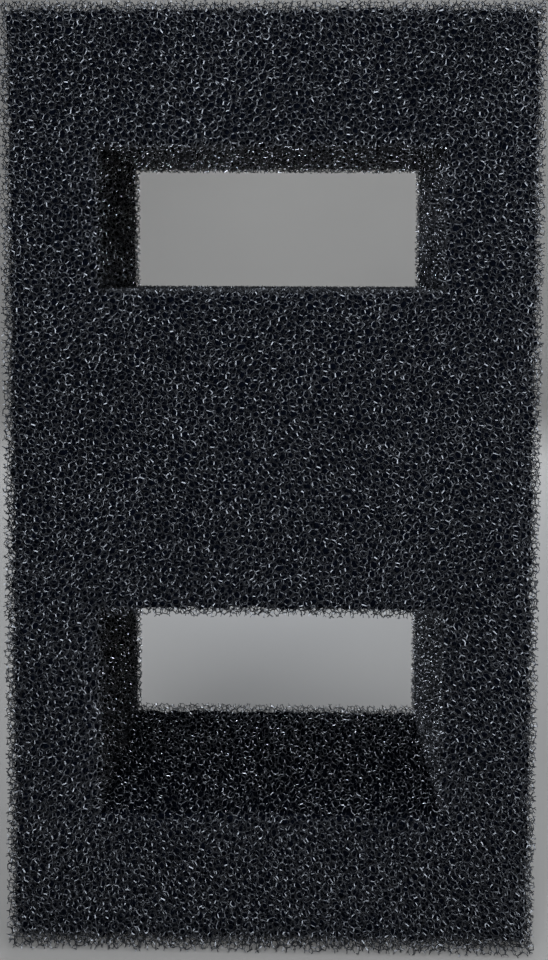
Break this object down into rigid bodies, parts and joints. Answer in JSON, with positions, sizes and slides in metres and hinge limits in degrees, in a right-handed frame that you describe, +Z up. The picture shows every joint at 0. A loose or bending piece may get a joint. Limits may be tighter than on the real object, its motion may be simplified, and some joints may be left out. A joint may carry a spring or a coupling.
{
  "type": "sponge filter",
  "caption": "Upright rectangular block of black open-cell filter foam with rectangular windows cut right through it, one above the other.",
  "frame": {"origin": "middle of the bottom face", "axes": "+X across the width, to the right as seen from the front; +Y through the depth, from the front face to the back; +Z up"},
  "size_m": [0.112, 0.05, 0.2],
  "materials": {
    "filter_foam": "black open-cell polyurethane foam, an open net of thin dull strands with a slight sheen"
  },
  "bodies": {
    "root": {"left_wall": "filter_foam", "right_wall": "filter_foam", "bottom_bar": "filter_foam", "middle_bar": "filter_foam", "top_bar": "filter_foam"}
  },
  "joints": []
}
